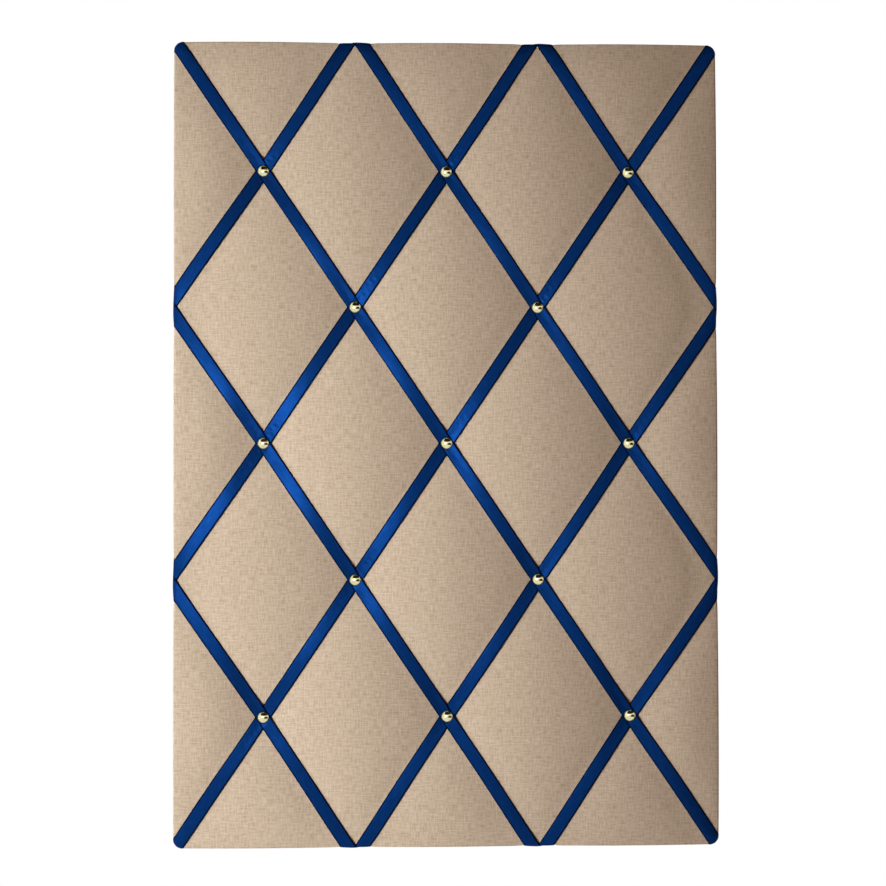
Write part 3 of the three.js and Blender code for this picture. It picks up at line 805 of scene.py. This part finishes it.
def makeRing(side):
    half, corner, gap = hanger["ringWidth"] / 2, hanger["ringCorner"], hanger["buttGap"] / 2
    shoulder = hanger["ringDepth"] - half
    turn = (0, 1, 0)
    bm = bmesh.new()
    bmesh.ops.create_circle(bm, segments=hanger["wireSides"], radius=hanger["wire"] / 2,
                            matrix=Matrix.Translation((gap, 0, 0)) @ Matrix.Rotation(math.pi / 2, 4, "Y"))
    end = drawOut(bm, bm.edges[:], (half - corner - gap, 0, 0))
    end = bendRound(bm, end, (half - corner, 0, -corner), turn, math.pi / 2, 6)
    end = drawOut(bm, end, (0, 0, corner - shoulder))
    end = bendRound(bm, end, (0, 0, -shoulder), turn, math.pi, 30)
    end = drawOut(bm, end, (0, 0, shoulder - corner))
    end = bendRound(bm, end, (corner - half, 0, -corner), turn, math.pi / 2, 6)
    drawOut(bm, end, (half - corner - gap, 0, 0))
    bmesh.ops.holes_fill(bm, edges=bm.edges[:], sides=0)
    bmesh.ops.recalc_face_normals(bm, faces=bm.faces[:])
    tilt = math.asin(hanger["ringStand"] / hanger["ringDepth"])
    bmesh.ops.rotate(bm, verts=bm.verts[:], cent=(0, 0, 0), matrix=Matrix.Rotation(tilt, 3, "X"))
    bmesh.ops.translate(bm, verts=bm.verts[:], vec=hingeOf[f"{side}_ring"])
    piece = makeObject(f"wireRing_{side}", bm, steel, body=f"{side}_ring")
    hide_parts(f"hanger_ring_{side}")


def makeStrap(side):
    loop, half = hanger["loop"], hanger["strapWidth"] / 2
    fold, foldLevel = hanger["strapFold"], 1.03 * hanger["strapThickness"] - loop
    leaves = math.atan2(-foldLevel, fold) + math.asin(loop / math.hypot(fold, foldLevel)) + math.pi / 2
    bm = bmesh.new()
    start = bm.edges.new([bm.verts.new((x, -loop, -hanger["strapLength"])) for x in (-half, half)])
    end = drawOut(bm, [start], (0, 0, hanger["strapLength"]))
    end = bendRound(bm, end, (0, 0, 0), (1, 0, 0), -leaves - math.pi / 2, hanger["loopSteps"])
    along, level = loop * math.cos(leaves), loop * math.sin(leaves)
    end = drawOut(bm, end, (0, foldLevel - level, -fold - along))
    drawOut(bm, end, (0, 0, fold - hanger["strapLength"]))
    bmesh.ops.recalc_face_normals(bm, faces=bm.faces[:])
    bmesh.ops.translate(bm, verts=bm.verts[:], vec=hingeOf[f"{side}_ring"])
    piece = makeObject(f"steelStrap_{side}", bm, steel, smooth=False)
    wall = piece.modifiers.new("thickness", "SOLIDIFY")
    wall.thickness = hanger["strapThickness"]
    wall.offset = 0
    edge = piece.modifiers.new("edge", "BEVEL")
    edge.width = hanger["strapEdge"]
    edge.segments = 2
    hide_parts(f"hanger_strap_{side}")


def makeScrew(side):
    node = f"hanger_screw_{side}"
    low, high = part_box(node)
    place = middleOf(node)
    radius, rim, edge = hanger["headRadius"], hanger["headRim"], hanger["headEdge"]
    seat = high.y - hanger["headHeight"]
    outline = [(0, low.y), (hanger["shank"], low.y + hanger["shank"]), (hanger["shank"], seat),
               (radius - edge, seat), (radius, seat + edge)]
    for step in range(hanger["domeSteps"] + 1):
        angle = step / hanger["domeSteps"] * math.pi / 2
        rise = (hanger["headHeight"] - rim) * math.sin(angle)
        outline.append((radius * math.cos(angle), seat + rim + rise))
    piece = makeObject(f"panHeadScrew_{side}", spun(outline, place, hanger["headSteps"]), steel)
    bm = bmesh.new()
    for turn in (math.pi / 4, -math.pi / 4):
        long, wide, deep = hanger["recess"]
        bmesh.ops.create_cube(bm, size=1, matrix=Matrix.Translation((place.x, high.y, place.z))
                              @ Matrix.Rotation(turn, 4, "Y") @ Matrix.Diagonal((long, deep, wide, 1)))
    cross = bpy.data.objects.new("cross", bpy.data.meshes.new("cross"))
    bm.to_mesh(cross.data)
    bm.free()
    bpy.context.scene.collection.objects.link(cross)
    cut = piece.modifiers.new("recess", "BOOLEAN")
    cut.object = cross
    cut.use_self = True
    shown = piece.evaluated_get(bpy.context.evaluated_depsgraph_get())
    piece.data = bpy.data.meshes.new_from_object(shown)
    piece.modifiers.clear()
    bpy.data.objects.remove(cross)
    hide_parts(node)


# felt bumpers, low on the back

bumper = {"bevel": 0.6 * mm, "steps": 48}


def makeBumper(side):
    node = f"wall_bumper_{side}"
    low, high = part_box(node)
    size = high - low
    bm = bmesh.new()
    place = Matrix.Translation(middleOf(node)) @ Matrix.Rotation(math.pi / 2, 4, "X")
    bmesh.ops.create_cone(bm, cap_ends=True, segments=bumper["steps"], radius1=size.x / 2, radius2=size.x / 2,
                          depth=size.y, matrix=place)
    rims = [e for e in bm.edges if abs(e.verts[0].co.y - e.verts[1].co.y) < size.y / 2]
    bmesh.ops.bevel(bm, geom=rims, offset=bumper["bevel"], segments=3, **roundBevel)
    piece = makeObject(f"feltBumper_{side}", bm, felt)
    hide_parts(node)


# staples: along the hem and across the end of each ribbon

staple = {
    "size": (12 * mm, 0.6 * mm, 1.2 * mm),
    "edge": 0.15 * mm,
    "stand": 0.15 * mm,  # its middle above the cloth
    "fromEdge": 23 * mm,  # of the board
    "spacing": 45 * mm,
    "clear": 30 * mm,  # kept free beside ribbons and corners
    "lean": 9,  # degrees either way, driven by hand
    "slip": 2 * mm,
    "seed": 7,
}


def addStaple(bm, place, turn):
    made = bmesh.ops.create_cube(bm, size=1, matrix=Matrix.Translation(place) @ Matrix.Rotation(turn, 4, "Y")
                                 @ Matrix.Diagonal((*staple["size"], 1)))
    edges = list({e for v in made["verts"] for e in v.link_edges})
    bmesh.ops.bevel(bm, geom=edges, offset=staple["edge"], segments=2, **roundBevel)


def hemSpots():  # places along the four hems, with the way each staple lies
    spots = []
    for half, other, step, turn in ((board["halfX"], board["halfZ"], lattice["stepX"], 0),
                                    (board["halfZ"], board["halfX"], lattice["stepZ"], math.pi / 2)):
        count = round(2 * half / staple["spacing"])
        for index in range(count):
            along = (index + 0.5) / count * 2 * half - half
            toRibbon = abs(along / step - math.floor(along / step) - 0.5) * step  # they end halfway
            if half - abs(along) < 2 * staple["clear"] or toRibbon < staple["clear"]:
                continue
            for way in (-1, 1):
                out = way * (other - staple["fromEdge"])
                spots.append((along, out, turn) if turn == 0 else (out, along, turn))
    return spots


def makeStaples():
    draw = random.Random(staple["seed"])
    bm = bmesh.new()
    for x, z, turn in hemSpots():
        slip = draw.uniform(-staple["slip"], staple["slip"])
        lean = math.radians(draw.uniform(-staple["lean"], staple["lean"]))
        spot = linenTree.find_nearest(Vector((x + slip, 0, z - slip)))[0]
        addStaple(bm, spot + Vector((0, staple["stand"], 0)), turn + lean)
    for left, right in ribbonEnds:
        lean = math.radians(draw.uniform(-staple["lean"], staple["lean"]))
        turn = math.atan2(left.z - right.z, right.x - left.x)
        addStaple(bm, (left + right) / 2 + Vector((0, staple["stand"], 0)), turn + lean)
    makeObject("hemStaples", bm, steel, smooth=False)


for side in ("left", "right"):
    makeRing(side)
    makeStrap(side)
    makeScrew(side)
    makeBumper(side)
makeStaples()
print("rear pieces made")

# camera: the photograph's, from slightly left and below

camera = {"azimuth": -2.52, "elevation": -1.5, "roll": -0.09, "distance": 1.8, "target": (-0.0019, 0, 0.0007),
          "lens": 97.24}


def makeCamera():
    turn, tilt, roll = (math.radians(camera[k]) for k in ("azimuth", "elevation", "roll"))
    back = Vector((math.sin(turn) * math.cos(tilt), -math.cos(turn) * math.cos(tilt), math.sin(tilt)))
    right = (-back).cross(Vector((0, 0, 1))).normalized()
    up = right.cross(-back)
    across = right * math.cos(roll) + up * math.sin(roll)
    data = bpy.data.cameras.new("camera")
    data.lens = camera["lens"]
    data.sensor_width = 36
    view = bpy.data.objects.new("camera", data)
    bpy.context.scene.collection.objects.link(view)
    view.matrix_world = Matrix.Translation(Vector(camera["target"]) + back * camera["distance"]) @ Matrix(
        (across, back.cross(across), back)).transposed().to_4x4()
    bpy.context.scene.camera = view


makeCamera()

# light: one large soft window on the left, a pale floor below, a white surround

light = {
    "key": {"place": (-0.82, -0.68, -0.18), "aim": (-0.075, 0, -0.13), "size": (0.4, 1.1), "power": 2.9,
            "spread": 50, "tint": "#f2f8ff"},
    "pane": {"place": (-0.28, -0.82, -0.01), "aim": (-0.05, 0, 0), "size": (0.14, 0.2), "power": 0.39,
             "spread": 70, "tint": "#f7fbff"},  # nearer the camera, for the satin
    "rear": {"place": (0.9, 1.2, 0.6), "aim": (0, 0, 0), "size": (0.8, 0.8), "power": 5,
             "spread": 70, "tint": "#ffffff"},
    "fill": {"tint": "#ffb273", "strength": 0.117},
    "floor": {"level": -1.0, "size": 60.0, "tint": "#eeeeec", "reach": 3.5, "tone": 0.25},  # fades to white
    "ceiling": {"place": (0.6, -1.1, 2.1), "size": (7.0, 3.4), "tint": "#2a2110"},  # dark, above on the right
    "doorway": {"place": (1.7, -1.5, -0.9), "size": (3.4, 3.2), "tint": "#554c1c"},
}


def makeLamp(name):
    lamp = light[name]
    data = bpy.data.lights.new(name, "AREA")
    data.shape = "RECTANGLE"
    data.size, data.size_y = lamp["size"]
    data.energy = lamp["power"]
    data.spread = math.radians(lamp["spread"])
    data.color = colour(lamp["tint"])[:3]
    place = bpy.data.objects.new(name, data)
    bpy.context.scene.collection.objects.link(place)
    place.visible_glossy = name != "key"  # the satin and the studs show the pane alone
    place.visible_diffuse = name != "pane"
    place.location = lamp["place"]
    place.rotation_euler = (Vector(lamp["aim"]) - Vector(lamp["place"])).to_track_quat("-Z", "Y").to_euler()


def seenRays(tree):  # 1 for what the camera sees, itself or in metal
    path = addNode(tree, "ShaderNodeLightPath")
    seen = path.outputs["Is Camera Ray"]
    for other in ("Is Glossy Ray", "Is Transmission Ray"):
        most = addNode(tree, "ShaderNodeMath", {0: seen, 1: path.outputs[other]}, operation="MAXIMUM")
        seen = most.outputs[0]
    return seen


def makePanel(name, size, place, material):
    bm = bmesh.new()
    bmesh.ops.create_circle(bm, cap_ends=True, segments=48, radius=0.5,
                            matrix=place @ Matrix.Diagonal((*size, 1, 1)))
    mesh = bpy.data.meshes.new(name)
    bm.to_mesh(mesh)
    bm.free()
    panel = bpy.data.objects.new(name, mesh)
    bpy.context.scene.collection.objects.link(panel)
    mesh.materials.append(material)
    return panel


def makeFloor():
    floor = light["floor"]
    material, tree = newMaterial("paleFloor")
    matt = addNode(tree, "ShaderNodeBsdfDiffuse", {"Color": colour(floor["tint"])})
    glow = addNode(tree, "ShaderNodeEmission", {"Color": colour("#ffffff"), "Strength": 1.0})
    place = addNode(tree, "ShaderNodeTexCoord").outputs["Object"]
    inwards = addNode(tree, "ShaderNodeTexGradient", {"Vector": addNode(tree, "ShaderNodeMapping", {
        "Vector": place, "Location": (0, 0, -floor["level"] / floor["reach"]),
        "Scale": [1 / floor["reach"]] * 3}).outputs[0]}, gradient_type="SPHERICAL").outputs["Fac"]
    white = addNode(tree, "ShaderNodeMath", {0: inwards, 1: -floor["tone"], 2: 1.0},
                    operation="MULTIPLY_ADD").outputs[0]
    share = addNode(tree, "ShaderNodeMath", {0: seenRays(tree), 1: white}, operation="MULTIPLY").outputs[0]
    both = addNode(tree, "ShaderNodeMixShader", {0: share, 1: matt.outputs[0], 2: glow.outputs[0]})
    addNode(tree, "ShaderNodeOutputMaterial", {"Surface": both.outputs[0]})
    makePanel("paleFloor", [floor["size"]] * 2, Matrix.Translation((0, 0, floor["level"])), material)


def makeDarkPanel(name):  # only its reflection shows, in the studs
    dark = light[name]
    turn = Vector(dark["place"]).to_track_quat("Z", "Y").to_matrix().to_4x4()
    material, tree = newMaterial(name)
    finishMaterial(tree, {"Base Color": colour(dark["tint"]), "Roughness": 0.9})
    panel = makePanel(name, dark["size"], Matrix.Translation(dark["place"]) @ turn, material)
    panel.visible_camera = False
    panel.visible_diffuse = False
    panel.visible_shadow = False


def makeSurround():
    world = bpy.data.worlds.new("surround")
    bpy.context.scene.world = world
    world.use_nodes = True
    tree = world.node_tree
    tree.nodes.clear()
    fill = addNode(tree, "ShaderNodeBackground", {"Color": colour(light["fill"]["tint"]),
                                                  "Strength": light["fill"]["strength"]})
    white = addNode(tree, "ShaderNodeBackground", {"Color": colour("#ffffff"), "Strength": 1.0})
    both = addNode(tree, "ShaderNodeMixShader", {0: seenRays(tree), 1: fill.outputs[0], 2: white.outputs[0]})
    addNode(tree, "ShaderNodeOutputWorld", {"Surface": both.outputs[0]})


for name in ("key", "pane", "rear"):
    makeLamp(name)
for name in ("ceiling", "doorway"):
    makeDarkPanel(name)
makeFloor()
makeSurround()
bpy.context.scene.view_settings.view_transform = "Standard"

core = frame["nodes"]["core_board"]
core.data.materials.clear()
core.data.materials.append(fibreboard)

print("scene ready")
